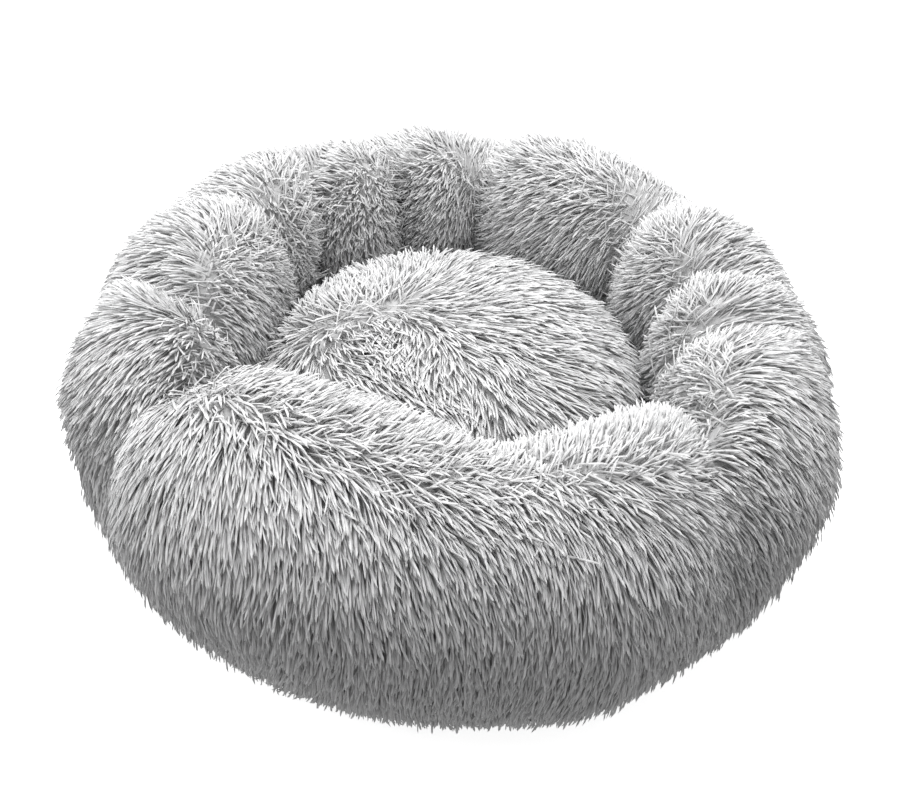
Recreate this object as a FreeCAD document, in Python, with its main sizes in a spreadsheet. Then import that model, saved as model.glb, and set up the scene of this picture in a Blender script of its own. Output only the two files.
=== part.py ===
import FreeCAD, Part
import math
import os
import Sketcher
from FreeCAD import Vector

os.makedirs("parts", exist_ok=True)

# A round pet bed: a furry ring bolster sewn to a flat base, and a loose furry cushion in the well.
# Millimetres, +Z up, origin on the floor under the middle of the bed.
SIZES = {
    "no_inset": "0",
    # bolster, measured over the tips of its pile
    "outer_radius": "300",
    "girth_height": "97",
    "base_radius": "257",
    "bed_height": "206",
    "crest_radius": "206",
    "well_radius": "150",
    "well_height": "112",
    "hem_radius": "172",
    "pile_depth": "14",
    "liner_gap": "2.4",
    "liner_thickness": "1.5",
    "filling_gap": "0.3",
    # gather bands under the pile, one in each crease of the bolster
    "band_width": "8",
    "band_thickness": "0.8",
    "band_foot": "0.3",
    # base
    "binding_thickness": "0.6",
    "binding_width": "12",
    "panel_thickness": "1.4",
    "wadding_radius": "168",
    "wadding_thickness": "8",
    "lining_radius": "168",
    "lining_thickness": "1",
    # zip in the base
    "zip_length": "300",
    "slot_half_width": "6",
    "slot_spare": "6",
    "slot_overlap": "2",
    "tape_width": "11",
    "tape_thickness": "0.6",
    "coil_size": "1.4",
    "coil_half_gap": "0.7",
    "channel_half_width": "12.5",
    # slider without a pull tab
    "slider_length": "9",
    "slider_half_width": "4",
    "plate_thickness": "0.7",
    "slider_gap": "0.3",
    "divider_half_width": "0.4",
    "divider_length": "3",
    "flange_thickness": "0.6",
    "bridge_half_width": "0.9",
    "bridge_height": "0.3",
    "bridge_inset": "1.5",
    "stop_gap": "0.2",
    "stop_length": "2",
    # loose cushion
    "cushion_gap": "0.4",
    "cushion_radius": "147",
    "cushion_top": "153",
    "crown_radius": "510",
    "shoulder_radius": "40",
    "lower_corner": "33",
    "seam_height": "48",
    "seam_gap": "0.2",
    "filling_step": "1",
    "cushion_pile": "12",
    "underside_thickness": "1.5",
    # grip dots
    "dot_radius": "4",
    "dot_ring_1": "60",
    "dot_ring_2": "110",
    "dot_ring_3": "160",
    "dot_ring_4": "210",
}
FORMULAS = {
    "panel_top": "=binding_thickness + panel_thickness",
    "foot_sweep": "=((outer_radius - base_radius)^2 + (girth_height - panel_top)^2)"
                  " / (2 * (outer_radius - base_radius))",
    "hem_sweep": "=((hem_radius - well_radius)^2 + (well_height - panel_top)^2)"
                 " / (2 * (hem_radius - well_radius))",
    "liner_inset": "=pile_depth + liner_gap",
    "filling_inset": "=liner_inset + liner_thickness + filling_gap",
    "liner_foot": "=panel_top + liner_gap",
    "liner_cut_inset": "=liner_inset + liner_thickness",
    "liner_cut_foot": "=liner_foot + liner_thickness",
    "filling_foot": "=liner_cut_foot + filling_gap",
    "band_inset": "=pile_depth + (liner_gap - band_thickness) / 2",
    "band_cut_inset": "=band_inset + band_thickness",
    "band_foot_height": "=panel_top + band_foot",
    "lining_bottom": "=panel_top + wadding_thickness",
    "cushion_bottom": "=lining_bottom + lining_thickness + cushion_gap",
    "tape_top": "=panel_top + tape_thickness",
    "coil_top": "=tape_top + coil_size",
    "tape_half_length": "=zip_length / 2 + slot_spare",
    "slider_floor": "=panel_top - slider_gap - plate_thickness",
    "slider_roof": "=coil_top + slider_gap",
    "slider_start": "=zip_length / 2 - slider_length / 2",
    "seam_below": "=seam_height - seam_gap",
    "filling_joint": "=seam_height - filling_step",
    "filling_top_inset": "=cushion_pile + filling_gap",
    "filling_low_inset": "=underside_thickness + filling_gap",
}
# The creases round the bolster: the first stands at FIRST_CREASE, each next one so many degrees on.
FIRST_CREASE = 9
CREASE_SPACING = [28, 48, 23, 22, 22, 41, 17, 69, 41, 22]
DOTS_IN_RING = {1: 8, 2: 14, 3: 20, 4: 26}

doc = FreeCAD.newDocument("pet_bed")
sheet = doc.addObject("Spreadsheet::Sheet", "sizes")
for row, (alias, value) in enumerate({**SIZES, **FORMULAS}.items(), start=1):
    sheet.set(f"A{row}", alias)
    sheet.set(f"B{row}", value)
    sheet.setAlias(f"B{row}", alias)
doc.recompute()


def size(alias):
    """The present value of one named size, used for first positions that constraints then hold."""
    return float(sheet.get(alias))


def origin_part(body, role):
    """A datum plane or axis of a body's own origin."""
    return next(feature for feature in body.Origin.OriginFeatures if feature.Role == role)


def new_body(label):
    """A body named after its piece."""
    body = doc.addObject("PartDesign::Body", label)
    body.Label = label
    return body


def new_sketch(body, name, role="XZ_Plane"):
    """A sketch lying on one of the body's origin planes."""
    sketch = body.newObject("Sketcher::SketchObject", name)
    sketch.AttachmentSupport = [(origin_part(body, role), "")]
    sketch.MapMode = "FlatFace"
    return sketch


def hold(sketch, kind, *where, to=None):
    """A constraint, bound to a formula on the sizes when `to` is given."""
    number = sketch.addConstraint(Sketcher.Constraint(kind, *where))
    if to is not None:
        sketch.setExpression(f"Constraints[{number}]", to)


def line(sketch, start, end):
    """A straight edge."""
    return sketch.addGeometry(Part.LineSegment(Vector(*start, 0), Vector(*end, 0)), False)


def revolve(body, sketch, name, kind="PartDesign::Revolution"):
    """A full turn of a sketch about the upright axis: adds material, or cuts it as a groove."""
    turned = body.newObject(kind, name)
    turned.Profile = sketch
    turned.ReferenceAxis = (sketch, ["V_Axis"])
    turned.Angle = 360
    doc.recompute()
    return turned


def quarter_oval(sketch, centre, half_width, half_height, side):
    """The upper quarter of an oval, from its side point to its top; side is +1 outward, -1 inward."""
    middle = Vector(*centre, 0)
    tip = Vector(centre[0], centre[1] + half_height, 0)
    flank = Vector(centre[0] - half_width, centre[1], 0)
    oval = Part.Ellipse(tip, flank, middle)
    first, last = (0, math.pi / 2) if side < 0 else (3 * math.pi / 2, 2 * math.pi)
    arc = sketch.addGeometry(Part.ArcOfEllipse(oval, first, last), False)
    sketch.exposeInternalGeometry(arc)
    hold(sketch, "Vertical", arc + 1)
    return arc


def sweep_arc(sketch, centre, radius, first, last):
    """A round arc, angles in degrees."""
    circle = Part.Circle(Vector(*centre, 0), Vector(0, 0, 1), radius)
    return sketch.addGeometry(Part.ArcOfCircle(circle, math.radians(first), math.radians(last)), False)


def bolster_section(sketch, inset, foot):
    """The bolster's cross-section, drawn `inset` inside the pile tips, standing at height `foot`."""
    inset_now = size(inset)
    foot_now = size(foot)
    crest, girth, well = size("crest_radius"), size("girth_height"), size("well_height")
    top = size("bed_height") - inset_now
    outside, inside = size("outer_radius") - inset_now, size("well_radius") + inset_now
    outer_sweep, inner_sweep = size("foot_sweep") - inset_now, size("hem_sweep") - inset_now
    outer_centre = (outside - outer_sweep, girth)
    inner_centre = (inside + inner_sweep, well)
    outer_dip = math.degrees(math.asin((girth - foot_now) / outer_sweep))
    inner_dip = math.degrees(math.asin((well - foot_now) / inner_sweep))
    outer_top = quarter_oval(sketch, (crest, girth), outside - crest, top - girth, 1)
    inner_top = quarter_oval(sketch, (crest, well), crest - inside, top - well, -1)
    outer_low = sweep_arc(sketch, outer_centre, outer_sweep, -outer_dip, 0)
    inner_low = sweep_arc(sketch, inner_centre, inner_sweep, 180, 180 + inner_dip)
    outer_toe = outer_centre[0] + outer_sweep * math.cos(math.radians(outer_dip))
    inner_toe = inner_centre[0] - inner_sweep * math.cos(math.radians(inner_dip))
    sole = line(sketch, (inner_toe, foot_now), (outer_toe, foot_now))
    for arc, height in ((outer_top, "girth_height"), (inner_top, "well_height")):
        hold(sketch, "DistanceX", -1, 1, arc, 3, size("crest_radius"), to="sizes.crest_radius")
        hold(sketch, "DistanceY", -1, 1, arc, 3, size(height), to=f"sizes.{height}")
    hold(sketch, "Horizontal", outer_top, 1, outer_top, 3)
    hold(sketch, "Horizontal", inner_top, 2, inner_top, 3)
    hold(sketch, "Vertical", inner_top, 1, inner_top, 3)
    hold(sketch, "DistanceX", outer_top, 3, outer_top, 1, outside - crest,
         to=f"sizes.outer_radius - sizes.crest_radius - sizes.{inset}")
    hold(sketch, "DistanceX", inner_top, 2, inner_top, 3, crest - inside,
         to=f"sizes.crest_radius - sizes.well_radius - sizes.{inset}")
    hold(sketch, "DistanceY", -1, 1, inner_top, 1, top, to=f"sizes.bed_height - sizes.{inset}")
    hold(sketch, "Coincident", outer_top, 2, inner_top, 1)
    hold(sketch, "Coincident", outer_low, 2, outer_top, 1)
    hold(sketch, "Coincident", inner_low, 1, inner_top, 2)
    hold(sketch, "Horizontal", outer_low, 3, outer_top, 3)
    hold(sketch, "Horizontal", inner_low, 3, inner_top, 3)
    hold(sketch, "Radius", outer_low, outer_sweep, to=f"sizes.foot_sweep - sizes.{inset}")
    hold(sketch, "Radius", inner_low, inner_sweep, to=f"sizes.hem_sweep - sizes.{inset}")
    hold(sketch, "Coincident", sole, 1, inner_low, 2)
    hold(sketch, "Coincident", sole, 2, outer_low, 1)
    hold(sketch, "Horizontal", sole)
    hold(sketch, "DistanceY", -1, 1, sole, 1, foot_now, to=f"sizes.{foot}")


def disc_outline(sketch, radius, to):
    """A circle about the origin."""
    ring = sketch.addGeometry(Part.Circle(Vector(0, 0, 0), Vector(0, 0, 1), radius), False)
    hold(sketch, "Coincident", ring, 3, -1, 1)
    hold(sketch, "Radius", ring, radius, to=to)
    return ring


def box_outline(sketch, x_span, y_span):
    """An upright rectangle; each span is a pair of formulas for its lower and upper edge."""
    low = Vector(value(x_span[0]), value(y_span[0]), 0)
    high = Vector(value(x_span[1]), value(y_span[1]), 0)
    corners = [(low.x, low.y), (high.x, low.y), (high.x, high.y), (low.x, high.y)]
    sides = [line(sketch, corners[i], corners[(i + 1) % 4]) for i in range(4)]
    for i, side in enumerate(sides):
        hold(sketch, "Coincident", side, 2, sides[(i + 1) % 4], 1)
        hold(sketch, "Horizontal" if i % 2 == 0 else "Vertical", side)
    for kind, side, formula in (("DistanceX", sides[0], x_span[0]), ("DistanceY", sides[0], y_span[0]),
                                ("DistanceX", sides[2], x_span[1]), ("DistanceY", sides[2], y_span[1])):
        hold(sketch, kind, -1, 1, side, 1, value(formula), to=formula)


def value(formula):
    """A formula on the sizes, worked out."""
    return float(sheet.evalExpression(formula.replace("sizes.", "")))


def raise_sketch(sketch, formula):
    """Lift a sketch off the floor plane to a height from the sizes."""
    sketch.setExpression("AttachmentOffset.Base.z", formula)


def pad(body, sketch, name, formula, kind="PartDesign::Pad", midplane=False):
    """Extrude a sketch by a length from the sizes, or cut it out."""
    feature = body.newObject(kind, name)
    feature.Profile = sketch
    feature.Midplane = midplane
    feature.setExpression("Length", formula)
    doc.recompute()
    return feature


def block(body, name, x_span, y_span, bottom, height):
    """A rectangular block of a body, from its spans in X and Y, its underside and its height."""
    sketch = new_sketch(body, f"{name}_outline", "XY_Plane")
    raise_sketch(sketch, bottom)
    box_outline(sketch, x_span, y_span)
    return pad(body, sketch, name, height)


# --- bolster: cover with its pile, liner bag, fibre filling, gather bands ---
bolster_cover = new_body("bolster_cover")
section = new_sketch(bolster_cover, "pile_tips")
bolster_section(section, "no_inset", "panel_top")
revolve(bolster_cover, section, "ring")
section = new_sketch(bolster_cover, "backing_inside")
bolster_section(section, "pile_depth", "binding_thickness")
revolve(bolster_cover, section, "hollow", "PartDesign::Groove")

bolster_liner = new_body("bolster_liner")
section = new_sketch(bolster_liner, "bag_outside")
bolster_section(section, "liner_inset", "liner_foot")
revolve(bolster_liner, section, "bag")
section = new_sketch(bolster_liner, "bag_inside")
bolster_section(section, "liner_cut_inset", "liner_cut_foot")
revolve(bolster_liner, section, "hollow", "PartDesign::Groove")

bolster_filling = new_body("bolster_filling")
section = new_sketch(bolster_filling, "fibre_outside")
bolster_section(section, "filling_inset", "filling_foot")
revolve(bolster_filling, section, "fibre")

gather_bands = new_body("gather_bands")
section = new_sketch(gather_bands, "band_outside")
bolster_section(section, "band_inset", "band_foot_height")
band = pad(gather_bands, section, "band", "sizes.band_width", midplane=True)
section = new_sketch(gather_bands, "band_inside")
bolster_section(section, "band_cut_inset", "binding_thickness")
opened = pad(gather_bands, section, "opened", "sizes.band_width * 2", "PartDesign::Pocket", True)
gather_bands.Tip = opened
around = gather_bands.newObject("PartDesign::PolarPattern", "creases")
around.TransformMode = "Whole shape"
around.Axis = (origin_part(gather_bands, "Z_Axis"), [""])
around.Mode = "Spacing"
around.Occurrences = len(CREASE_SPACING) + 1
around.Spacings = CREASE_SPACING
gather_bands.Tip = around
gather_bands.Placement = FreeCAD.Placement(Vector(), FreeCAD.Rotation(Vector(0, 0, 1), FIRST_CREASE))
doc.recompute()

# --- base: seam binding, woven panel with the zip slot, grip dots, wadding, floor lining ---
base_binding = new_body("base_binding")
sketch = new_sketch(base_binding, "tape", "XY_Plane")
disc_outline(sketch, size("base_radius"), "sizes.base_radius")
disc_outline(sketch, size("base_radius") - size("binding_width"), "sizes.base_radius - sizes.binding_width")
pad(base_binding, sketch, "ring", "sizes.binding_thickness")

base_panel = new_body("base_panel")
sketch = new_sketch(base_panel, "disc", "XY_Plane")
raise_sketch(sketch, "sizes.binding_thickness")
disc_outline(sketch, size("base_radius"), "sizes.base_radius")
box_outline(sketch, ("-sizes.tape_half_length + sizes.slot_overlap", "sizes.tape_half_length - sizes.slot_overlap"),
            ("-sizes.slot_half_width", "sizes.slot_half_width"))
pad(base_panel, sketch, "cloth", "sizes.panel_thickness")

grip_dots = new_body("grip_dots")
for ring, count in DOTS_IN_RING.items():
    radius, turn = size(f"dot_ring_{ring}"), 180 / count
    sketch = new_sketch(grip_dots, f"dot_{ring}", "XY_Plane")
    centre = Vector(radius * math.cos(math.radians(turn)), radius * math.sin(math.radians(turn)), 0)
    dot = sketch.addGeometry(Part.Circle(centre, Vector(0, 0, 1), size("dot_radius")), False)
    hold(sketch, "Radius", dot, size("dot_radius"), to="sizes.dot_radius")
    hold(sketch, "DistanceX", -1, 1, dot, 3, centre.x, to=f"sizes.dot_ring_{ring} * cos({turn} deg)")
    hold(sketch, "DistanceY", -1, 1, dot, 3, centre.y, to=f"sizes.dot_ring_{ring} * sin({turn} deg)")
    first = pad(grip_dots, sketch, f"first_dot_{ring}", "sizes.binding_thickness")
    copies = grip_dots.newObject("PartDesign::PolarPattern", f"dot_ring_{ring}")
    copies.Originals = [first]
    copies.Axis = (origin_part(grip_dots, "Z_Axis"), [""])
    copies.Angle = 360
    copies.Occurrences = count
    grip_dots.Tip = copies
    doc.recompute()

base_wadding = new_body("base_wadding")
sketch = new_sketch(base_wadding, "disc", "XY_Plane")
raise_sketch(sketch, "sizes.panel_top")
disc_outline(sketch, size("wadding_radius"), "sizes.wadding_radius")
box_outline(sketch, ("-sizes.tape_half_length - sizes.slot_overlap", "sizes.tape_half_length + sizes.slot_overlap"),
            ("-sizes.channel_half_width", "sizes.channel_half_width"))
pad(base_wadding, sketch, "sheet", "sizes.wadding_thickness")

floor_lining = new_body("floor_lining")
sketch = new_sketch(floor_lining, "disc", "XY_Plane")
raise_sketch(sketch, "sizes.lining_bottom")
disc_outline(sketch, size("lining_radius"), "sizes.lining_radius")
pad(floor_lining, sketch, "cloth", "sizes.lining_thickness")

# --- zip under the base: a tape and a coil on each side, stops at both ends, one slider ---
whole_tape = ("-sizes.tape_half_length", "sizes.tape_half_length")
whole_coil = ("-sizes.zip_length / 2", "sizes.zip_length / 2")
for side, sign in (("left", 1), ("right", -1)):
    tape_edges = ["sizes.coil_half_gap", "sizes.coil_half_gap + sizes.tape_width"]
    coil_edges = ["sizes.coil_half_gap", "sizes.coil_half_gap + sizes.coil_size"]
    if sign < 0:
        tape_edges = [f"-({edge})" for edge in reversed(tape_edges)]
        coil_edges = [f"-({edge})" for edge in reversed(coil_edges)]
    tape = new_body(f"zip_tape_{side}")
    block(tape, "woven_tape", whole_tape, tape_edges, "sizes.panel_top", "sizes.tape_thickness")
    coil = new_body(f"zip_coil_{side}")
    block(coil, "coil", whole_coil, coil_edges, "sizes.tape_top", "sizes.coil_size")

zip_stops = new_body("zip_stops")
stop_near = "sizes.zip_length / 2 + sizes.stop_gap"
stop_far = "sizes.zip_length / 2 + sizes.stop_gap + sizes.stop_length"
stop_edges = ("-(sizes.coil_half_gap + sizes.coil_size)", "sizes.coil_half_gap + sizes.coil_size")
block(zip_stops, "closed_end", (stop_near, stop_far), stop_edges, "sizes.tape_top", "sizes.coil_size")
block(zip_stops, "open_end", (f"-({stop_far})", f"-({stop_near})"), stop_edges,
      "sizes.tape_top", "sizes.coil_size")

zip_slider = new_body("zip_slider")
half = "sizes.slider_length / 2"
plate_x = (f"sizes.slider_start - {half}", f"sizes.slider_start + {half}")
plate_y = ("-sizes.slider_half_width", "sizes.slider_half_width")
block(zip_slider, "lower_plate", plate_x, plate_y, "sizes.slider_floor", "sizes.plate_thickness")
block(zip_slider, "divider",
      (plate_x[0], f"sizes.slider_start - {half} + sizes.divider_length"),
      ("-sizes.divider_half_width", "sizes.divider_half_width"),
      "sizes.slider_floor", "sizes.slider_roof - sizes.slider_floor")
block(zip_slider, "upper_plate", plate_x, plate_y, "sizes.slider_roof", "sizes.plate_thickness")
flange_foot = "sizes.tape_top + sizes.slider_gap"
flange_inner = "sizes.slider_half_width - sizes.flange_thickness"
for name, edges in (("flange_left", (flange_inner, "sizes.slider_half_width")),
                    ("flange_right", ("-sizes.slider_half_width", f"-({flange_inner})"))):
    block(zip_slider, name, plate_x, edges, flange_foot, f"sizes.slider_roof - ({flange_foot})")
block(zip_slider, "bridge",
      (f"sizes.slider_start - {half} + sizes.bridge_inset", f"sizes.slider_start + {half} - sizes.bridge_inset"),
      ("-sizes.bridge_half_width", "sizes.bridge_half_width"),
      "sizes.slider_floor - sizes.bridge_height", "sizes.bridge_height")


# --- loose cushion: furry top cover, plain underside, fibre filling ---
def crown_outline(sketch, inset, level):
    """Half the cushion's outline from `level` up over the shoulder to the crown, `inset` inside it."""
    depth = size(inset)
    low, top, radius = size(level), size("cushion_top"), size("cushion_radius")
    crown, shoulder = size("crown_radius"), size("shoulder_radius")
    crown_centre = top - crown
    shoulder_x = radius - shoulder
    shoulder_z = crown_centre + math.sqrt((crown - shoulder) ** 2 - shoulder_x ** 2)
    lean = math.degrees(math.atan2(shoulder_z - crown_centre, shoulder_x))
    crown_arc = sweep_arc(sketch, (0, crown_centre), crown - depth, lean, 90)
    shoulder_arc = sweep_arc(sketch, (shoulder_x, shoulder_z), shoulder - depth, 0, lean)
    side = line(sketch, (radius - depth, low), (radius - depth, shoulder_z))
    floor = line(sketch, (0, low), (radius - depth, low))
    axis = line(sketch, (0, top - depth), (0, low))
    hold(sketch, "PointOnObject", crown_arc, 3, -2)
    hold(sketch, "PointOnObject", crown_arc, 2, -2)
    hold(sketch, "DistanceY", crown_arc, 3, -1, 1, -crown_centre, to="sizes.crown_radius - sizes.cushion_top")
    hold(sketch, "Radius", crown_arc, crown - depth, to=f"sizes.crown_radius - sizes.{inset}")
    hold(sketch, "Radius", shoulder_arc, shoulder - depth, to=f"sizes.shoulder_radius - sizes.{inset}")
    hold(sketch, "Tangent", shoulder_arc, 2, crown_arc, 1)
    hold(sketch, "Tangent", side, 2, shoulder_arc, 1)
    hold(sketch, "Vertical", side)
    hold(sketch, "Coincident", floor, 2, side, 1)
    hold(sketch, "Horizontal", floor)
    hold(sketch, "DistanceX", -1, 1, side, 1, radius - depth, to=f"sizes.cushion_radius - sizes.{inset}")
    hold(sketch, "DistanceY", -1, 1, side, 1, low, to=f"sizes.{level}")
    hold(sketch, "Coincident", axis, 1, crown_arc, 2)
    hold(sketch, "Coincident", axis, 2, floor, 1)
    hold(sketch, "PointOnObject", floor, 1, -2)


def sole_outline(sketch, inset, level):
    """Half the cushion's outline from its flat sole round the lower corner up to `level`."""
    depth = size(inset)
    high, radius, corner = size(level), size("cushion_radius"), size("lower_corner")
    bottom = size("cushion_bottom")
    corner_centre = (radius - corner, bottom + corner)
    sole = line(sketch, (0, bottom + depth), (corner_centre[0], bottom + depth))
    bend = sweep_arc(sketch, corner_centre, corner - depth, -90, 0)
    side = line(sketch, (radius - depth, corner_centre[1]), (radius - depth, high))
    lid = line(sketch, (radius - depth, high), (0, high))
    axis = line(sketch, (0, high), (0, bottom + depth))
    hold(sketch, "Horizontal", sole)
    hold(sketch, "Tangent", sole, 2, bend, 1)
    hold(sketch, "Tangent", bend, 2, side, 1)
    hold(sketch, "Vertical", side)
    hold(sketch, "Radius", bend, corner - depth, to=f"sizes.lower_corner - sizes.{inset}")
    hold(sketch, "DistanceX", -1, 1, side, 2, radius - depth, to=f"sizes.cushion_radius - sizes.{inset}")
    hold(sketch, "DistanceY", -1, 1, sole, 1, bottom + depth, to=f"sizes.cushion_bottom + sizes.{inset}")
    hold(sketch, "DistanceY", -1, 1, side, 2, high, to=f"sizes.{level}")
    hold(sketch, "Coincident", side, 2, lid, 1)
    hold(sketch, "Horizontal", lid)
    hold(sketch, "Coincident", lid, 2, axis, 1)
    hold(sketch, "Coincident", axis, 2, sole, 1)
    hold(sketch, "PointOnObject", sole, 1, -2)
    hold(sketch, "PointOnObject", lid, 2, -2)


cushion_cover = new_body("cushion_cover")
outline = new_sketch(cushion_cover, "pile_tips")
crown_outline(outline, "no_inset", "seam_height")
revolve(cushion_cover, outline, "dome")
outline = new_sketch(cushion_cover, "backing_inside")
crown_outline(outline, "cushion_pile", "seam_below")
revolve(cushion_cover, outline, "hollow", "PartDesign::Groove")

cushion_underside = new_body("cushion_underside")
outline = new_sketch(cushion_underside, "cloth_outside")
sole_outline(outline, "no_inset", "seam_below")
revolve(cushion_underside, outline, "cup")
outline = new_sketch(cushion_underside, "cloth_inside")
sole_outline(outline, "underside_thickness", "seam_height")
revolve(cushion_underside, outline, "hollow", "PartDesign::Groove")

cushion_filling = new_body("cushion_filling")
outline = new_sketch(cushion_filling, "lower_half")
sole_outline(outline, "filling_low_inset", "filling_joint")
revolve(cushion_filling, outline, "lower_fibre")
outline = new_sketch(cushion_filling, "upper_half")
crown_outline(outline, "filling_top_inset", "filling_joint")
revolve(cushion_filling, outline, "upper_fibre")

doc.recompute()
for thing in doc.Objects:
    if "Invalid" in thing.State or "Error" in thing.State:
        raise RuntimeError(f"{thing.Name} did not rebuild: {thing.State}")
for body in [thing for thing in doc.Objects if thing.TypeId == "PartDesign::Body"]:
    if body.Shape.isNull() or not body.Shape.isValid() or body.Shape.Volume <= 0:
        raise RuntimeError(f"{body.Label} has no sound solid")
    body.Shape.exportStep(f"parts/{body.Label}.step")
    print(body.Label, len(body.Shape.Solids), "solids", round(body.Shape.Volume / 1000, 1), "cm3")
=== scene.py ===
import math
import bmesh
import bpy
import numpy as np
from mathutils import Matrix, Vector


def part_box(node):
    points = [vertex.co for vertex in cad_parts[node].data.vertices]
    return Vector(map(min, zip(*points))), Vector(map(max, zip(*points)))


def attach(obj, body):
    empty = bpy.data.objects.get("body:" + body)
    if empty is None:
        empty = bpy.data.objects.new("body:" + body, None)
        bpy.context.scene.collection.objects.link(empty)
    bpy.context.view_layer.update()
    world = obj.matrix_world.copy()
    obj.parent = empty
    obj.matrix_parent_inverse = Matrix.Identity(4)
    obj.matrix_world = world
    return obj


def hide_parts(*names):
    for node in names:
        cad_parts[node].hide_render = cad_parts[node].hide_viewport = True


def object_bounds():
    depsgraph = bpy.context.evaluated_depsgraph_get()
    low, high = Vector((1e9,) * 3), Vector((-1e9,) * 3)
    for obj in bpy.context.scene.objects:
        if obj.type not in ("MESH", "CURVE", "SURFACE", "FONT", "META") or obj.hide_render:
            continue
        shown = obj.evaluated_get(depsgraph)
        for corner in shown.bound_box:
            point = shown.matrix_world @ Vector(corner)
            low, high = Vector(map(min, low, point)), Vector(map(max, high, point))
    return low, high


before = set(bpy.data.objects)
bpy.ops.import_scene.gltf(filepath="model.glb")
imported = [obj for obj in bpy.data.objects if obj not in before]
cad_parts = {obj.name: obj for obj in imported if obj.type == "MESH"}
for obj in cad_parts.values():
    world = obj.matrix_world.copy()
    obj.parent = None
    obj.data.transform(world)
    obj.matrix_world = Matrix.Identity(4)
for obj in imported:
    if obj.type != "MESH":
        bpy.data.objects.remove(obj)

cad_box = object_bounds()

# --- Base cloths -----------------------------------------------------------
# The flat bottom of the bed: a disc of woven polyester with its edge bound in
# flat tape, and a thin lining on the floor of the well. All plain weave, cut
# and lock-stitched.


def paint(node_name, material):
    """Give a CAD piece its finish."""
    cad_piece = bpy.data.objects[node_name]
    cad_piece.data.materials.clear()
    cad_piece.data.materials.append(material)


def new_material(name, roughness, **sockets):
    """A material, its node tree and its shader, with plain values set on the shader."""
    material = bpy.data.materials.new(name)
    material.use_nodes = True
    tree = material.node_tree
    shader = tree.nodes["Principled BSDF"]
    shader.inputs["Roughness"].default_value = roughness
    for socket, value in sockets.items():
        shader.inputs[socket.replace("_", " ")].default_value = value
    return material, tree, shader


def grey(tone):
    """A grey with the faintest cool cast."""
    return (tone, tone, tone * 1.005, 1.0)


def two_tone(tree, factor, dark, light, shader):
    """Colour the shader between two tones by a texture's value."""
    ramp = tree.nodes.new("ShaderNodeValToRGB")
    ramp.color_ramp.elements[0].color = dark
    ramp.color_ramp.elements[1].color = light
    tree.links.new(factor, ramp.inputs["Fac"])
    tree.links.new(ramp.outputs["Color"], shader.inputs["Base Color"])


# a wave texture's scale times the width of one of its bands
BAND_SCALE = 0.314


def woven(name, tone, thread, roughness=0.85):
    """Plain weave: two sets of crossing threads `thread` metres apart, with slubs."""
    material, tree, shader = new_material(name, roughness, Sheen_Weight=0.15)
    place = tree.nodes.new("ShaderNodeTexCoord")
    heights = []
    for direction in ("X", "Y"):
        threads = tree.nodes.new("ShaderNodeTexWave")
        threads.wave_type = "BANDS"
        threads.bands_direction = direction
        threads.inputs["Scale"].default_value = BAND_SCALE / thread
        threads.inputs["Distortion"].default_value = 0.6
        threads.inputs["Detail Scale"].default_value = 2.0
        tree.links.new(place.outputs["Object"], threads.inputs["Vector"])
        heights.append(threads.outputs["Fac"])
    cross = tree.nodes.new("ShaderNodeMath")
    cross.operation = "MAXIMUM"
    tree.links.new(heights[0], cross.inputs[0])
    tree.links.new(heights[1], cross.inputs[1])
    slub = tree.nodes.new("ShaderNodeTexNoise")
    slub.inputs["Scale"].default_value = 60.0
    slub.inputs["Detail"].default_value = 4.0
    tree.links.new(place.outputs["Object"], slub.inputs["Vector"])
    mixed = tree.nodes.new("ShaderNodeMath")
    mixed.operation = "MULTIPLY"
    tree.links.new(cross.outputs[0], mixed.inputs[0])
    tree.links.new(slub.outputs["Fac"], mixed.inputs[1])
    two_tone(tree, mixed.outputs[0], grey(tone * 0.55), grey(tone * 1.3), shader)
    bump = tree.nodes.new("ShaderNodeBump")
    bump.inputs["Strength"].default_value = 0.5
    bump.inputs["Distance"].default_value = thread * 0.3
    tree.links.new(cross.outputs[0], bump.inputs["Height"])
    tree.links.new(bump.outputs["Normal"], shader.inputs["Normal"])
    return material


paint("base_panel", woven("base_cloth", 0.30, 0.0011))
paint("base_binding", woven("binding_tape", 0.22, 0.0008))
paint("floor_lining", woven("lining_cloth", 0.45, 0.0007))

# --- Grip dots and wadding -------------------------------------------------
# Small domes of soft PVC printed on the base cloth in rings, and a sheet of
# loose polyester wadding above it.


def speckled(name, dark, light, grain, roughness, depth=0.0002, **sockets):
    """A surface mottled by fine noise, in colour and in height."""
    material, tree, shader = new_material(name, roughness, **sockets)
    place = tree.nodes.new("ShaderNodeTexCoord")
    noise = tree.nodes.new("ShaderNodeTexNoise")
    noise.inputs["Scale"].default_value = grain
    noise.inputs["Detail"].default_value = 6.0
    tree.links.new(place.outputs["Object"], noise.inputs["Vector"])
    two_tone(tree, noise.outputs["Fac"], grey(dark), grey(light), shader)
    bump = tree.nodes.new("ShaderNodeBump")
    bump.inputs["Strength"].default_value = 0.4
    bump.inputs["Distance"].default_value = depth
    tree.links.new(noise.outputs["Fac"], bump.inputs["Height"])
    tree.links.new(bump.outputs["Normal"], shader.inputs["Normal"])
    return material


paint("grip_dots", speckled("printed_pvc", 0.02, 0.05, 900.0, 0.45))
paint("base_wadding", speckled("polyester_wadding", 0.62, 0.9, 300.0, 0.95, 0.001))

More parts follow.
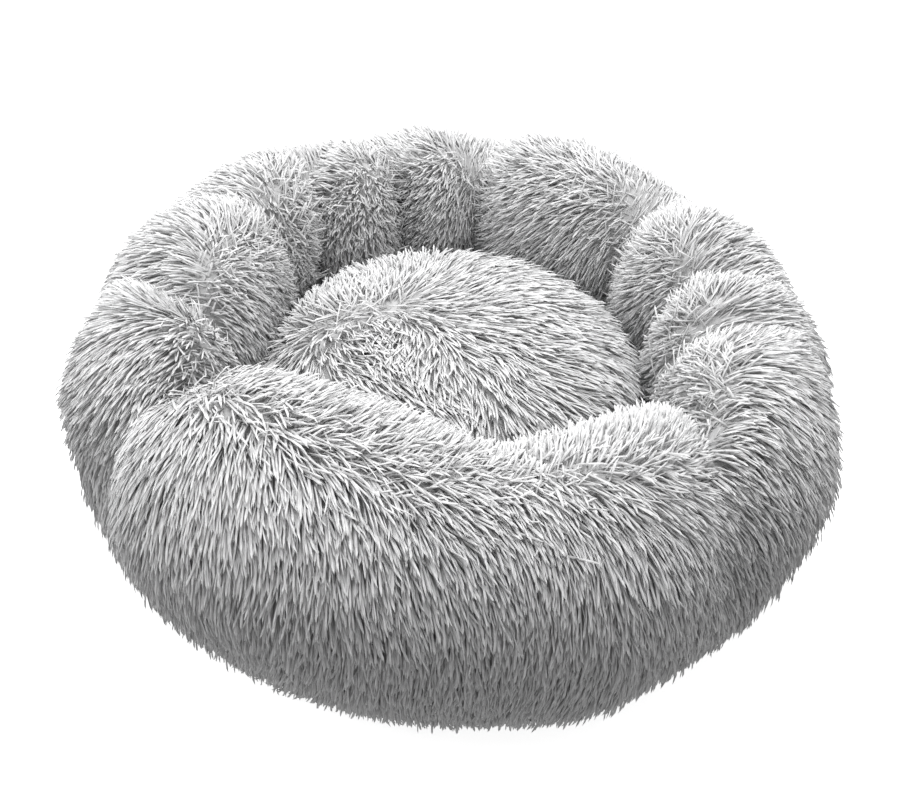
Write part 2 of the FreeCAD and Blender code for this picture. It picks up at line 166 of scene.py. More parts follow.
# --- Zip -------------------------------------------------------------------
# A nylon coil zip set face down in the base slot: two woven tapes, the moulded
# coils, crimped metal stops and a plated slider without a pull tab.
COIL_PITCH = 0.0011
for side in ("left", "right"):
    paint(f"zip_tape_{side}", bpy.data.materials["binding_tape"])
nylon = speckled("nylon_coil", 0.2, 0.3, 1200.0, 0.5)
coil_tree = nylon.node_tree
turns = coil_tree.nodes.new("ShaderNodeTexWave")
turns.bands_direction = "X"
turns.inputs["Scale"].default_value = BAND_SCALE / COIL_PITCH
coil_place = coil_tree.nodes["Texture Coordinate"].outputs["Object"]
coil_tree.links.new(coil_place, turns.inputs["Vector"])
coil_tree.links.new(turns.outputs["Fac"], coil_tree.nodes["Bump"].inputs["Height"])
coil_tree.links.new(turns.outputs["Fac"], coil_tree.nodes["Color Ramp"].inputs["Fac"])
for side in ("left", "right"):
    paint(f"zip_coil_{side}", nylon)
plated = speckled("plated_zinc", 0.42, 0.6, 700.0, 0.35, 0.00005, Metallic=1.0)
paint("zip_stops", plated)
paint("zip_slider", plated)

# --- Bolster skin ----------------------------------------------------------
# The knitted backing of the faux fur: a stuffed ring, sewn shut round its foot
# and pulled in at eleven creases by the bands under it. It stays a pile's depth
# inside the tips.
PILE_DEPTH = 0.0075
low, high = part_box("bolster_cover")
foot_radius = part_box("base_panel")[1][0]
foot_height = low[2]
OUTER = (high[0] - PILE_DEPTH, 0.097)
CREST = (0.206, high[2] - PILE_DEPTH - 0.005)
INNER = (0.150 + PILE_DEPTH, 0.112)
OUTER_FOOT = foot_radius - 0.008
INNER_FOOT = 0.186
# the middle of the filling, as radius and height, towards which the creases pull
SPINE = (0.228, 0.085)
# where the flat sole starts and ends round the section, in degrees
SOLE_START, SOLE_END = 250, 290
# azimuth in degrees from +X at the well, how far it turns by the crest's outer side, how deep it
# pulls in (m), its half width (degrees), and the share of it that runs down the outer wall
CREASES = [(9, -1, 0.030, 6.0, 0.15), (37, 1, 0.034, 6.0, 0.1), (85, -1, 0.038, 5.5, 0.1),
           (108, 3, 0.034, 5.0, 0.2), (138, -13, 0.034, 6.0, 0.1), (152, 2, 0.016, 4.0, 0.0),
           (199, -14, 0.048, 6.0, 0.15), (214, 0, 0.054, 6.5, 0.5), (279, -2, 0.006, 9.0, 0.1),
           (328, -14, 0.032, 6.0, 0.5), (344, 6, 0.032, 6.0, 0.2)]
# the creases deep enough to part the pile into lobes
SIDE_BY_SIDE = [crease for crease in CREASES if crease[2] > 0.015]
# the lobes between them: azimuth, how far each bulges into the well and rises at the crest (m),
# and how far its pile is combed round the ring
LOBES = [(-5, 0.002, -0.001, 0.6), (23, 0.004, 0.005, 0.7), (61, 0.002, 0.009, 0.9),
         (96, 0.002, -0.001, 0.5), (119, 0.002, 0.002, 0.2), (145, 0.004, 0.000, -0.4),
         (172, 0.006, -0.006, -0.5), (204, 0.000, -0.012, 0.4), (222, -0.010, 0.000, 0.8),
         (250, 0.004, 0.000, 0.8), (290, -0.002, 0.000, 0.5), (312, -0.014, 0.000, 0.4),
         (331, -0.004, -0.002, 0.4)]
LOBE_WIDTH = 17.0
# where the foot hangs slack: azimuth, how far it draws in (m), half width (degrees)
SLACK_FOOT = (246, 0.010, 18)
# how far the skin swells between creases, and how far it wavers round the ring (m)
LOBE_SWELL = 0.003
WAVER = 0.003
# stuffing: the size of the skin's faces, the pressure, the steps, and the most a point may move
EVEN_MESH = 0.006
PRESSURE = 3.0
STUFFING_STEPS = 20
BOLSTER_SWELL = 0.006


def section_point(turn):
    """The section's outline by angle: 0 outer side, 90 crest, 180 inner side, 270 on the sole."""
    turn = turn % 360
    if turn <= 90:
        centre, reach, start = (CREST[0], OUTER[1]), (OUTER[0] - CREST[0], CREST[1] - OUTER[1]), turn
    elif turn <= 180:
        centre, reach, start = (CREST[0], INNER[1]), (CREST[0] - INNER[0], CREST[1] - INNER[1]), turn
    elif turn <= SOLE_START:
        centre, reach = (INNER_FOOT, INNER[1]), (INNER_FOOT - INNER[0], INNER[1] - foot_height)
        start = 180 + (turn - 180) * 90 / (SOLE_START - 180)
    elif turn < SOLE_END:
        share = (turn - SOLE_START) / (SOLE_END - SOLE_START)
        return INNER_FOOT + (OUTER_FOOT - INNER_FOOT) * share, foot_height
    else:
        centre, reach = (OUTER_FOOT, OUTER[1]), (OUTER[0] - OUTER_FOOT, OUTER[1] - foot_height)
        start = 270 + (turn - SOLE_END) * 90 / (360 - SOLE_END)
    angle = math.radians(start)
    return centre[0] + reach[0] * math.cos(angle), centre[1] + reach[1] * math.sin(angle)


def smooth(value, start, end):
    """Ease from 0 at the start to 1 at the end."""
    share = np.clip((value - start) / (end - start), 0.0, 1.0)
    return share * share * (3 - 2 * share)


def polar(points):
    """The azimuth in degrees and the radius of each point about the bed's axis."""
    azimuth = np.degrees(np.arctan2(points[:, 1], points[:, 0]))
    return azimuth, np.hypot(points[:, 0], points[:, 1])


def apart(azimuth, at):
    """Degrees from one azimuth to another, the short way round."""
    return (azimuth - at + 180) % 360 - 180


def well_share(radius):
    """1 on the well's side of the crest, easing to 0 on the outer wall."""
    return smooth(-radius, -CREST[0] - 0.055, -CREST[0] + 0.01)


def off_crease(azimuth, radius, crease):
    """Degrees from one crease, which slants as it runs out over the crest."""
    return apart(azimuth, crease[0] + crease[1] * np.clip((radius - INNER[0]) / 0.07, 0.0, 1.2))


def crease_pull(azimuth, radius, inside):
    """How far the creases pull the skin in at each place, and how full the lobe is there."""
    pull = np.zeros_like(azimuth)
    fullness = np.ones_like(azimuth)
    for crease in CREASES:
        away = off_crease(azimuth, radius, crease)
        kept = crease[4] + (1 - crease[4]) * inside
        pull = np.maximum(pull, kept * crease[2] * np.exp(-np.abs(away / crease[3]) ** 1.4))
        fullness *= 1 - np.exp(-(away / (2.2 * crease[3])) ** 2)
    return pull, fullness


def across_lobe(azimuth, radius):
    """Where each place lies across its lobe: -1 at the crease below it in azimuth, +1 at the next."""
    below = np.full_like(azimuth, -360.0)
    above = np.full_like(azimuth, 360.0)
    for crease in SIDE_BY_SIDE:
        away = off_crease(azimuth, radius, crease)
        below = np.maximum(below, np.where(away >= 0, -away, -360.0))
        above = np.minimum(above, np.where(away < 0, -away, 360.0))
    return (-below - above) / np.maximum(above - below, 1.0)


def lobe_size(azimuth, column):
    """One of the lobes' values, run smoothly round the ring."""
    at = np.array([lobe[0] for lobe in LOBES], float)
    sizes = np.array([lobe[column] for lobe in LOBES])
    share = np.exp(-(apart(azimuth[:, None], at[None, :]) / LOBE_WIDTH) ** 2)
    return (share * sizes).sum(axis=1) / np.maximum(share.sum(axis=1), 0.2)


def gather(points):
    """Pull a round skin into its creases, and let the lobes between them swell."""
    azimuth, radius = polar(points)
    inside = well_share(radius)
    up = smooth(points[:, 2], 0.02, 0.13)
    pull, fullness = crease_pull(azimuth, radius, inside)
    inward = np.stack([SPINE[0] - radius, SPINE[1] - points[:, 2]], axis=1)
    inward /= np.linalg.norm(inward, axis=1)[:, None]
    waver = WAVER * np.sin(np.radians(azimuth * 3 + 110))
    travel = pull * up - (LOBE_SWELL * fullness + waver) * up
    into_well = lobe_size(azimuth, 1) * inside * smooth(points[:, 2], 0.05, 0.15)
    rise = lobe_size(azimuth, 2) * smooth(points[:, 2], 0.10, 0.18)
    new_radius = radius + inward[:, 0] * travel - into_well
    low_wall = smooth(points[:, 2], 0.0, 0.03) * smooth(-points[:, 2], -0.14, -0.05)
    low_wall *= radius > SPINE[0]
    slack_at, slack_depth, slack_width = SLACK_FOOT
    new_radius -= slack_depth * np.exp(-(apart(azimuth, slack_at) / slack_width) ** 2) * low_wall
    moved = points * (new_radius / radius)[:, None]
    moved[:, 2] = points[:, 2] + inward[:, 1] * travel + rise
    return moved


def mesh_points(mesh):
    """A mesh's vertices as rows of x, y, z."""
    points = np.empty(len(mesh.vertices) * 3)
    mesh.vertices.foreach_get("co", points)
    return points.reshape(-1, 3)


def finish_piece(name, mesh, material, body):
    """Put a mesh in the scene as a named piece that moves with its body."""
    piece = bpy.data.objects.new(name, mesh)
    bpy.context.scene.collection.objects.link(piece)
    if material.name not in mesh.materials:
        mesh.materials.append(material)
    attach(piece, body)
    return piece


def stuff(piece, held, reach):
    """Swell a sewn skin with its filling: cloth under pressure, held where it is sewn or banded."""
    even_mesh = piece.modifiers.new("even_mesh", "REMESH")
    even_mesh.mode = "VOXEL"
    even_mesh.voxel_size = EVEN_MESH
    graph = bpy.context.evaluated_depsgraph_get()
    piece.data = bpy.data.meshes.new_from_object(piece.evaluated_get(graph))
    piece.modifiers.remove(even_mesh)
    before = mesh_points(piece.data)
    pins = piece.vertex_groups.new(name="held")
    for number, grip in enumerate(held(before)):
        pins.add([number], float(grip), "REPLACE")
    filling = piece.modifiers.new("filling", "CLOTH")
    cloth = filling.settings
    cloth.quality = 4
    cloth.mass = 0.3
    cloth.tension_stiffness = cloth.compression_stiffness = 12.0
    cloth.bending_stiffness = 0.4
    cloth.use_pressure = True
    cloth.uniform_pressure_force = PRESSURE
    cloth.effector_weights.gravity = 0.0
    cloth.vertex_group_mass = "held"
    filling.collision_settings.use_collision = False
    filling.point_cache.frame_start = 1
    filling.point_cache.frame_end = STUFFING_STEPS
    for moment in range(1, STUFFING_STEPS + 1):
        bpy.context.scene.frame_set(moment)
    graph = bpy.context.evaluated_depsgraph_get()
    swell = mesh_points(piece.evaluated_get(graph).data) - before
    piece.modifiers.remove(filling)
    piece.vertex_groups.remove(pins)
    far = np.linalg.norm(swell, axis=1, keepdims=True)
    settled = before + swell * np.minimum(1.0, reach / np.maximum(far, 1e-9))
    piece.data.vertices.foreach_set("co", settled.ravel())
    piece.data.update()
    piece.data.shade_smooth()
    bpy.context.scene.frame_set(1)


def banded(points):
    """How firmly the bolster's skin is held: fast in the creases and at its foot."""
    azimuth, radius = polar(points)
    pull, _ = crease_pull(azimuth, radius, well_share(radius))
    return np.maximum(np.clip(pull / 0.016, 0, 1), smooth(-points[:, 2], -0.03, -0.008))


backing = speckled("knitted_backing", 0.40, 0.56, 500.0, 0.9, 0.0005)
ring = bmesh.new()
section = bmesh.ops.create_circle(ring, segments=72, radius=1.0)
for vertex in section["verts"]:
    turn = math.degrees(math.atan2(vertex.co.y, vertex.co.x))
    radius, height = section_point(turn)
    vertex.co = (radius, 0.0, height)
bmesh.ops.spin(ring, geom=ring.verts[:] + ring.edges[:], axis=(0, 0, 1), cent=(0, 0, 0),
               angle=math.tau, steps=240, use_merge=True)
bmesh.ops.recalc_face_normals(ring, faces=ring.faces)
skin_mesh = bpy.data.meshes.new("bolster_skin")
ring.to_mesh(skin_mesh)
ring.free()
skin_mesh.vertices.foreach_set("co", gather(mesh_points(skin_mesh)).ravel())
skin_mesh.update()
skin_mesh.shade_smooth()
bolster = finish_piece("bolster_skin", skin_mesh, backing, "bed")
stuff(bolster, banded, BOLSTER_SWELL)
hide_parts("bolster_cover", "bolster_liner", "bolster_filling", "gather_bands")

# --- Bolster pile ----------------------------------------------------------
# Long shaggy faux fur: polyester fibres about 30 mm long that cling in tapered
# locks, parted along the crest, combed down both walls and fanned out from the
# middle of each lobe, with some ruffled places on the well's wall.
LOCK_SIDES = 3
LOCK_STATIONS = 3


def lock_template():
    """One upright lock of unit length and half width, closed at both ends."""
    lock = bmesh.new()
    bmesh.ops.create_circle(lock, segments=LOCK_SIDES, radius=1.0, cap_ends=True)
    top = lock.faces[:]
    for station in range(1, LOCK_STATIONS + 1):
        raised = bmesh.ops.extrude_face_region(lock, geom=top)
        if station > 1:
            bmesh.ops.delete(lock, geom=top, context="FACES_ONLY")
        top = [part for part in raised["geom"] if isinstance(part, bmesh.types.BMFace)]
        rim = [part for part in raised["geom"] if isinstance(part, bmesh.types.BMVert)]
        bmesh.ops.translate(lock, verts=rim, vec=(0, 0, 1 / LOCK_STATIONS))
    bmesh.ops.pointmerge(lock, verts=rim, merge_co=(0, 0, 1))
    bmesh.ops.recalc_face_normals(lock, faces=lock.faces)
    mesh = bpy.data.meshes.new("lock_template")
    lock.to_mesh(mesh)
    lock.free()
    return mesh


template = lock_template()
TEMPLATE_POINTS = mesh_points(template)
TEMPLATE_STATION = np.rint(TEMPLATE_POINTS[:, 2] * LOCK_STATIONS).astype(int)
TEMPLATE_FACES = [list(face.vertices) for face in template.polygons]
TEMPLATE_SIZES = np.array([len(face) for face in TEMPLATE_FACES])
TEMPLATE_CORNERS = np.concatenate(TEMPLATE_FACES)
bpy.data.meshes.remove(template)
# half width of a lock at each station from root to tip, as a share of its widest
LOCK_TAPER = np.array([0.6, 0.95, 1.0, 0.0])
# how far along a lock each station stands: it stays wide until near its tip
LOCK_REACH = np.array([0.0, 0.40, 0.86, 1.0])
# the pile's texture is laid in strips, and each lock takes one of them
UV_STRIPS = 64
# how far a lock shades like the skin it grows from, as fine scattering fibre does
SOFTNESS = 0.48
# a lock is this flat across, curls sideways by this much, and is set this deep in the backing
LOCK_FLATNESS = 0.75
CURL = 0.26
ROOT_DEPTH = 0.0015
# no lock reaches below the floor or above this height
BOTTOM_LIMIT = 0.0025
TOP_LIMIT = high[2] + 0.0145


def scatter_roots(piece, count, rng):
    """Spread roots evenly over a skin: their places and the skin's normals there."""
    mesh = piece.data
    mesh.calc_loop_triangles()
    corners = np.empty(len(mesh.loop_triangles) * 3, dtype=np.int32)
    mesh.loop_triangles.foreach_get("vertices", corners)
    corners = corners.reshape(-1, 3)
    points = mesh_points(mesh)
    normals = np.empty(len(mesh.vertices) * 3, dtype=np.float32)
    mesh.vertex_normals.foreach_get("vector", normals)
    normals = normals.reshape(-1, 3)
    a, b, c = (points[corners[:, i]] for i in range(3))
    area = np.cumsum(np.linalg.norm(np.cross(b - a, c - a), axis=1))
    picks = (np.arange(count) + rng.random(count)) / count * area[-1]
    chosen = np.minimum(np.searchsorted(area, picks), len(corners) - 1)
    u, v = rng.random(count), rng.random(count)
    flip = u + v > 1
    u[flip], v[flip] = 1 - u[flip], 1 - v[flip]
    shares = np.stack([1 - u - v, u, v], axis=1)
    roots = np.einsum("ij,ijk->ik", shares, points[corners[chosen]])
    facing = np.einsum("ij,ijk->ik", shares, normals[corners[chosen]])
    return roots, unit(facing)


def unit(vectors):
    """Each vector at a length of one."""
    return vectors / np.maximum(np.linalg.norm(vectors, axis=-1, keepdims=True), 1e-9)


def ripple(points, pitch, seed):
    """Smooth random values from -1 to 1 that change over about `pitch` metres."""
    rng = np.random.default_rng(seed)
    total = np.zeros(len(points))
    for _ in range(8):
        direction = unit(rng.normal(size=3)) * math.tau / (pitch * rng.uniform(1.2, 3.0))
        total += np.sin(points @ direction + rng.uniform(0, math.tau))
    return np.clip(total / 3.2, -1, 1)


def grow_locks(name, roots, facing, lay, length, width, lift, material, body, rng, droop=0.25):
    """Grow one tapered, bent lock from each root along its lay, as one piece."""
    count = len(roots)
    side = unit(np.cross(lay, facing))
    curl = rng.normal(0, CURL, count)
    spine = np.zeros((count, LOCK_STATIONS + 1, 3))
    heading = np.zeros((count, LOCK_STATIONS + 1, 3))
    spine[:, 0] = roots - facing * ROOT_DEPTH
    for step in range(LOCK_STATIONS):
        share = (LOCK_REACH[step] + LOCK_REACH[step + 1]) / 2
        stretch = LOCK_REACH[step + 1] - LOCK_REACH[step]
        angle = lift * (1 - 0.75 * share)
        forward = np.cos(angle)[:, None] * lay + np.sin(angle)[:, None] * facing
        forward += side * (curl * (share - 0.2))[:, None]
        forward[:, 2] -= droop * share
        forward = unit(forward)
        heading[:, step] = forward
        spine[:, step + 1] = spine[:, step] + forward * (length * stretch)[:, None]
        spine[:, step + 1, 2] = np.clip(spine[:, step + 1, 2], BOTTOM_LIMIT, TOP_LIMIT)
    heading[:, -1] = heading[:, -2]
    across = unit(np.cross(heading, facing[:, None, :]))
    above = np.cross(heading, across)
    half = width[:, None] / 2 * LOCK_TAPER[None, :]
    spot = TEMPLATE_STATION
    roll = rng.uniform(0, math.tau, count)[:, None]
    template_turn = np.arctan2(TEMPLATE_POINTS[:, 1], TEMPLATE_POINTS[:, 0])
    around = template_turn[None, :] + roll
    verts = (spine[:, spot]
             + across[:, spot] * (np.cos(around) * half[:, spot])[:, :, None]
             + above[:, spot] * (np.sin(around) * LOCK_FLATNESS * half[:, spot])[:, :, None])
    mesh = bpy.data.meshes.new(name)
    mesh.vertices.add(count * len(spot))
    mesh.vertices.foreach_set("co", verts.ravel())
    first = np.arange(count)[:, None] * len(spot)
    corners = (TEMPLATE_CORNERS[None, :] + first).ravel()
    sizes = np.tile(TEMPLATE_SIZES, count)
    mesh.loops.add(len(corners))
    mesh.loops.foreach_set("vertex_index", corners)
    mesh.polygons.add(len(sizes))
    mesh.polygons.foreach_set("loop_start", np.concatenate([[0], np.cumsum(sizes)[:-1]]))
    strip = rng.integers(0, UV_STRIPS, count)[:, None]
    wrap = 0.5 + 0.4 * np.cos(template_turn)
    u = (strip + wrap[TEMPLATE_CORNERS][None, :]) / UV_STRIPS
    v = np.broadcast_to(LOCK_REACH[spot[TEMPLATE_CORNERS]][None, :] * 0.96 + 0.02, u.shape)
    layer = mesh.uv_layers.new(name="OFBake")
    layer.data.foreach_set("uv", np.stack([u, v], axis=-1).ravel())
    mesh.update(calc_edges=True)
    mesh.shade_smooth()
    outward_of_lock = (across[:, spot] * np.cos(around)[:, :, None]
                       + above[:, spot] * np.sin(around)[:, :, None])
    soft = unit(SOFTNESS * facing[:, None, :] + (1 - SOFTNESS) * outward_of_lock)
    shading = mesh.attributes.new("custom_normal", "FLOAT_VECTOR", "POINT")
    shading.data.foreach_set("vector", soft.astype(np.float32).ravel())
    return finish_piece(name, mesh, material, body)


# how pale a lock is painted at its root and its tip, and at shares of its length between them: the
# fibre's own pale grey at the tip, darkening towards the root as painted shade
ROOT_SHADE_TONE = 0.32
TIP_TONE = 0.83
MIDDLE_SHADE_TONES = [(0.3, 0.50), (0.7, 0.72)]
# how many streaks run across the strips, and how often they change along a lock
STREAKS = (260.0, 5.0, 1.0)
# a colour Mix node's sockets for its first colour, its second colour and its result
MIX_FIRST, MIX_SECOND, MIX_RESULT = 6, 7, 2


def pile_material():
    """Shag: shadowed at the root, paler to the tip, streaked by its fibres, each lock its own tone."""
    material, tree, shader = new_material("grey_shag", 0.9, Specular_IOR_Level=0.2, Sheen_Weight=0.1)
    uv = tree.nodes.new("ShaderNodeUVMap")
    uv.uv_map = "OFBake"
    split = tree.nodes.new("ShaderNodeSeparateXYZ")
    tree.links.new(uv.outputs["UV"], split.inputs[0])
    # painted shade: this ramp darkens each lock from its pale tip towards its root
    ramp = tree.nodes.new("ShaderNodeValToRGB")
    ramp.color_ramp.elements[0].color = grey(ROOT_SHADE_TONE)
    ramp.color_ramp.elements[1].color = grey(TIP_TONE)
    for position, tone in MIDDLE_SHADE_TONES:
        ramp.color_ramp.elements.new(position).color = grey(tone)
    tree.links.new(split.outputs["Y"], ramp.inputs["Fac"])
    stretch = tree.nodes.new("ShaderNodeMapping")
    stretch.inputs["Scale"].default_value = STREAKS
    tree.links.new(uv.outputs["UV"], stretch.inputs["Vector"])
    fibres = tree.nodes.new("ShaderNodeTexNoise")
    fibres.noise_dimensions = "2D"
    fibres.inputs["Scale"].default_value = 1.0
    fibres.inputs["Detail"].default_value = 3.0
    tree.links.new(stretch.outputs["Vector"], fibres.inputs["Vector"])
    shade = tree.nodes.new("ShaderNodeMapRange")
    shade.inputs["From Min"].default_value = 0.3
    shade.inputs["From Max"].default_value = 0.7
    shade.inputs["To Min"].default_value = 0.72
    shade.inputs["To Max"].default_value = 1.15
    tree.links.new(fibres.outputs["Fac"], shade.inputs["Value"])
    mix = tree.nodes.new("ShaderNodeMix")
    mix.data_type = "RGBA"
    mix.blend_type = "MULTIPLY"
    mix.inputs["Factor"].default_value = 1.0
    tree.links.new(ramp.outputs["Color"], mix.inputs[MIX_FIRST])
    tree.links.new(shade.outputs["Result"], mix.inputs[MIX_SECOND])
    tree.links.new(mix.outputs[MIX_RESULT], shader.inputs["Base Color"])
    return material


shag = pile_material()
BOLSTER_LOCKS = 122000
PANELS = 12
# the longest a lock may be on the outer wall, how much shorter it is in the well, and how far the
# lengths scatter
OUTER_LENGTH = 0.036
WELL_SHORTER = 0.010
LENGTH_SCATTER = (0.72, 1.12)
LOCK_WIDTHS = (0.0009, 0.0020)
# the parting's radius at the front, how much nearer the well it runs from there on, and the half
# width of the strip where the pile stands up
PARTING_RADIUS = CREST[0] + 0.022
PARTING_SHIFT = 0.040
PARTING_WIDTH = 0.018
# how steeply a lock leaves the skin (radians), and what the crest, the parting, the well's wall and
# a ruffled place add to it
LIFT = 0.42
CREST_LIFT = 0.10
PARTING_LIFT = 0.22
WELL_LIFT = 0.22
RUFFLED_LIFT = 0.5
# places on the well's wall where the pile is ruffled: azimuth, half width (degrees), how much
RUFFLED = [(116, 20, 1.0), (168, 20, 0.8), (206, 8, 0.8)]

rng = np.random.default_rng(11)
roots, facing = scatter_roots(bolster, BOLSTER_LOCKS, rng)
keep = (facing[:, 2] > -0.75) & (roots[:, 2] > foot_height + 0.004)
roots, facing = roots[keep], facing[keep]
azimuth, radius = polar(roots)
bearing = np.radians(azimuth)
around = np.stack([-np.sin(bearing), np.cos(bearing), np.zeros(len(roots))], axis=1)
outward = unit(np.cross(around, facing))
parting = PARTING_RADIUS - PARTING_SHIFT * smooth(roots[:, 1], -0.18, -0.05)
parting += 0.010 * ripple(roots, 0.09, 3) + rng.normal(0, 0.010, len(roots))
side_of_parting = np.clip((radius - parting) / PARTING_WIDTH, -1, 1)
well_side = (side_of_parting < 0) * 1.0
stand = 1 - np.abs(side_of_parting)
_, fullness = crease_pull(azimuth, radius, np.ones_like(radius))
ruffled = np.zeros_like(azimuth)
for at, spread, strength in RUFFLED:
    ruffled = np.maximum(ruffled, strength * np.exp(-(apart(azimuth, at) / spread) ** 2))
ruffled *= well_side

# comb each lobe's pile away from its middle, and all of it a little round the ring
fan = across_lobe(azimuth, radius) * (1 - stand)
fan *= np.maximum(well_side, 0.5 * smooth(facing[:, 2], 0.45, 0.95))
combed = lobe_size(azimuth, 3) * np.maximum(well_side, smooth(facing[:, 2], 0.3, 0.9))
lean = 0.6 * fan + combed + 0.30 * ripple(roots, 0.10, 5) + 0.20 * ripple(roots, 0.030, 6)
lean += rng.normal(0, 0.12 + 0.7 * ruffled)
lay = unit(outward * side_of_parting[:, None] + around * lean[:, None])
lift = LIFT + CREST_LIFT * smooth(roots[:, 2], 0.10, 0.18) + PARTING_LIFT * stand
lift += WELL_LIFT * well_side + RUFFLED_LIFT * ruffled
lift += rng.normal(0, 0.12 + 0.08 * well_side)
length = (OUTER_LENGTH - WELL_SHORTER * well_side) * rng.uniform(*LENGTH_SCATTER, len(roots))
length *= (1 + 0.10 * ripple(roots, 0.05, 8)) * (1 - 0.35 * ruffled)
length *= (0.7 + 0.3 * fullness) * (0.88 + 0.12 * smooth(roots[:, 2], 0.0, 0.06))
width = rng.uniform(*LOCK_WIDTHS, len(roots))
for panel in range(PANELS):
    start = -180 + panel * 360 / PANELS
    here = (azimuth >= start) & (azimuth < start + 360 / PANELS)
    grow_locks(f"bolster_pile_{panel + 1}", roots[here], facing[here], lay[here], length[here],
               width[here], lift[here], shag, "bed", rng)

# --- Cushion pad -----------------------------------------------------------
# The loose cushion: a round crowned pad of fibre with a furry top and a plain
# cloth underside, joined by a seam low on its side.
CUSHION_PILE = 0.003
CUSHION_SWELL = 0.003
# how full the pad's plan and crown are, where its widest place stands, and how far its sole tucks in
PLAN_FULLNESS = 0.62
CROWN_FULLNESS = 0.85
SOLE_FULLNESS = 0.7
BELLY_SHARE = 0.52
SOLE_TUCK = 0.10
_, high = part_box("cushion_cover")
under_low, under_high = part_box("cushion_underside")
pad_radius = high[0] - CUSHION_PILE
pad_top = high[2] - CUSHION_PILE - 0.002
pad_bottom = under_low[2]
seam_height = under_high[2]
belly = pad_bottom + (pad_top - pad_bottom) * BELLY_SHARE
underside_cloth = bpy.data.materials["lining_cloth"]


def sewn(points):
    """How firmly the pad's skin is held: fast at its seam and where it rests on its sole."""
    at_seam = np.exp(-((points[:, 2] - seam_height) / 0.004) ** 2)
    return np.maximum(at_seam, smooth(-points[:, 2], -pad_bottom - 0.012, -pad_bottom - 0.001))


pad = bmesh.new()
bmesh.ops.create_uvsphere(pad, u_segments=96, v_segments=48, radius=1.0)
for vertex in pad.verts:
    reach = math.hypot(vertex.co.x, vertex.co.y)
    spread = reach ** PLAN_FULLNESS / reach if reach > 1e-6 else 0.0
    if vertex.co.z >= 0:
        height = belly + (pad_top - belly) * vertex.co.z ** CROWN_FULLNESS
    else:
        drop = min(1.0, abs(vertex.co.z) ** SOLE_FULLNESS * 1.06)
        height = belly - (belly - pad_bottom) * drop
    tuck = 1 - SOLE_TUCK * max(0.0, -vertex.co.z)
    vertex.co.x *= spread * pad_radius * tuck
    vertex.co.y *= spread * pad_radius * tuck
    vertex.co.z = height
pad_mesh = bpy.data.meshes.new("cushion_pad")
pad.to_mesh(pad_mesh)
pad.free()
pad_mesh.materials.append(backing)
pad_mesh.materials.append(underside_cloth)
pad_mesh.shade_smooth()
cushion = finish_piece("cushion_pad", pad_mesh, backing, "cushion")
stuff(cushion, sewn, CUSHION_SWELL)
for face in cushion.data.polygons:
    face.material_index = 1 if face.center.z < seam_height else 0
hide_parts("cushion_cover", "cushion_underside", "cushion_filling")

# --- Cushion pile ----------------------------------------------------------
# The same shag as the bolster's, combed outwards from a short parting left of
# the middle.
PARTING_START = np.array([-0.102, -0.012])
PARTING_END = np.array([-0.052, 0.012])
CUSHION_LOCKS = 17500
CUSHION_LENGTH = 0.030
CUSHION_SCATTER = (0.75, 1.12)
CUSHION_LIFT = 0.58
rng = np.random.default_rng(23)
roots, facing = scatter_roots(cushion, CUSHION_LOCKS, rng)
keep = roots[:, 2] > seam_height + 0.004
roots, facing = roots[keep], facing[keep]
away = np.zeros_like(roots)
along = PARTING_END - PARTING_START
share = np.clip((roots[:, :2] - PARTING_START) @ along / (along @ along), 0, 1)
away[:, :2] = roots[:, :2] - PARTING_START - share[:, None] * along
away[:, :2] += rng.normal(0, 0.006, (len(roots), 2))
sweep = unit(away)
sweep[:, 1] -= 0.25 * smooth(roots[:, 0], -0.06, 0.05)
turned = np.stack([-sweep[:, 1], sweep[:, 0], np.zeros(len(roots))], axis=1)
swirl = 0.45 * ripple(roots, 0.07, 31) + 0.30 * ripple(roots, 0.03, 32)
swirl += rng.normal(0, 0.15, len(roots))
sweep += turned * swirl[:, None]
lay = unit(sweep - facing * np.sum(sweep * facing, axis=1)[:, None])
lift = CUSHION_LIFT + 0.35 * np.exp(-(np.linalg.norm(away, axis=1) / 0.02) ** 2)
lift += rng.normal(0, 0.14, len(roots))
length = CUSHION_LENGTH * rng.uniform(*CUSHION_SCATTER, len(roots))
width = rng.uniform(*LOCK_WIDTHS, len(roots))
grow_locks("cushion_pile", roots, facing, lay, length, width, lift, shag, "cushion", rng)

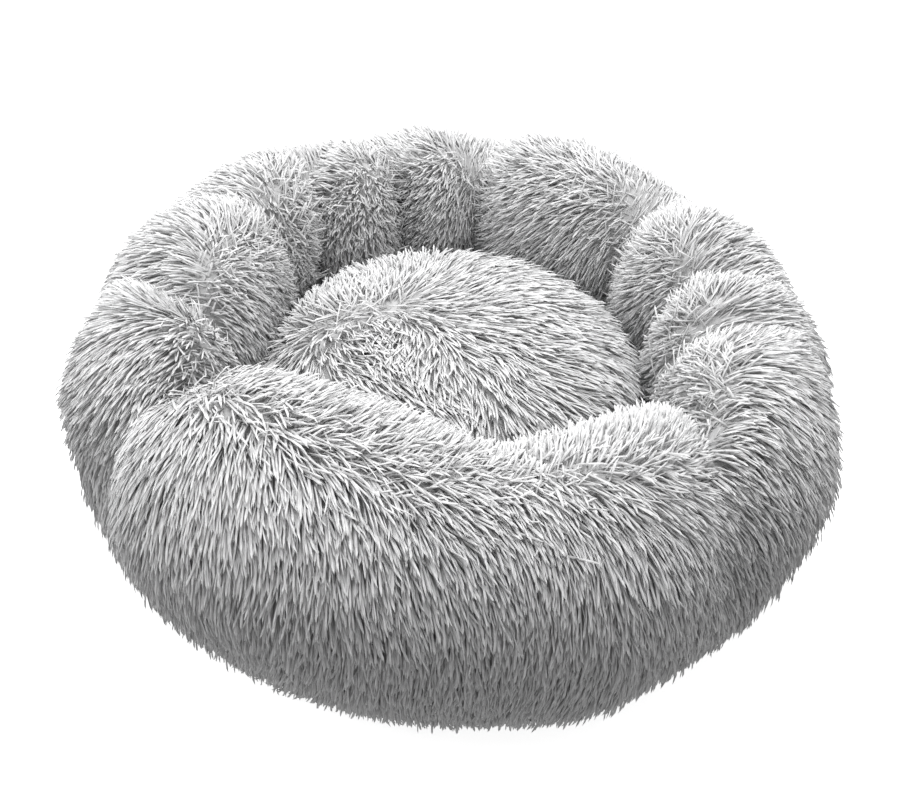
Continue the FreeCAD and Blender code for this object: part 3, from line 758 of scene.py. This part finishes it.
# --- Floor, light and camera -----------------------------------------------
# A pale studio sweep, a broad soft light overhead with weaker ones at the left
# and the right, and the camera looking down over the front lip.
FLOOR_REACH = 6.0
FLOOR_GLOW = 0.8
WORLD_LIGHT = 0.32
floor = bmesh.new()
bmesh.ops.create_grid(floor, x_segments=1, y_segments=1, size=FLOOR_REACH)
floor_mesh = bpy.data.meshes.new("floor")
floor.to_mesh(floor_mesh)
floor.free()
floor_piece = bpy.data.objects.new("floor", floor_mesh)
bpy.context.scene.collection.objects.link(floor_piece)
floor_material, _, floor_shader = new_material("white_sweep", 0.9)
floor_shader.inputs["Base Color"].default_value = (0.90, 0.90, 0.90, 1.0)
floor_shader.inputs["Emission Color"].default_value = (1.0, 1.0, 1.0, 1.0)
floor_shader.inputs["Emission Strength"].default_value = FLOOR_GLOW
floor_mesh.materials.append(floor_material)
floor_piece.visible_diffuse = False


def aim(thing, target):
    """Turn a light to face a point."""
    direction = Vector(target) - thing.location
    thing.rotation_euler = direction.to_track_quat("-Z", "Y").to_euler()


def area_light(name, place, target, size, power):
    """Hang a round soft light, its size in metres and its power in watts."""
    lamp = bpy.data.lights.new(name, "AREA")
    lamp.shape = "DISK"
    lamp.size = size
    lamp.energy = power
    holder = bpy.data.objects.new(name, lamp)
    holder.location = place
    bpy.context.scene.collection.objects.link(holder)
    aim(holder, target)


area_light("overhead", (-0.1, 0.32, 2.0), (0.0, 0.0, 0.1), 1.8, 56.0)
area_light("key", (-1.9, -0.1, 0.9), (0.0, 0.0, 0.12), 1.2, 12.0)
area_light("rim", (1.9, 0.2, 0.9), (0.0, 0.0, 0.12), 1.2, 3.0)
world = bpy.data.worlds.new("studio")
bpy.context.scene.world = world
world.use_nodes = True
world.node_tree.nodes["Background"].inputs["Color"].default_value = (1.0, 1.0, 1.0, 1.0)
world.node_tree.nodes["Background"].inputs["Strength"].default_value = WORLD_LIGHT
bpy.context.scene.view_settings.view_transform = "Standard"

outer_radius = cad_box[1][0]
ELEVATION = math.radians(37.1)
DISTANCE = 2.89 * outer_radius
LENS = 42.7
aim_height = 0.33 * outer_radius
TILT_DOWN = math.radians(1.85)
ROLL = math.radians(4.1)
lens = bpy.data.cameras.new("camera")
lens.lens = LENS
camera = bpy.data.objects.new("camera", lens)
bpy.context.scene.collection.objects.link(camera)
camera.location = (0.0, -DISTANCE * math.cos(ELEVATION), aim_height + DISTANCE * math.sin(ELEVATION))
looking = Vector((0.0, math.cos(ELEVATION + TILT_DOWN), -math.sin(ELEVATION + TILT_DOWN)))
turn = looking.to_track_quat("-Z", "Y").to_matrix()
camera.rotation_euler = (turn @ Matrix.Rotation(ROLL, 3, "Z")).to_euler()
bpy.context.scene.camera = camera
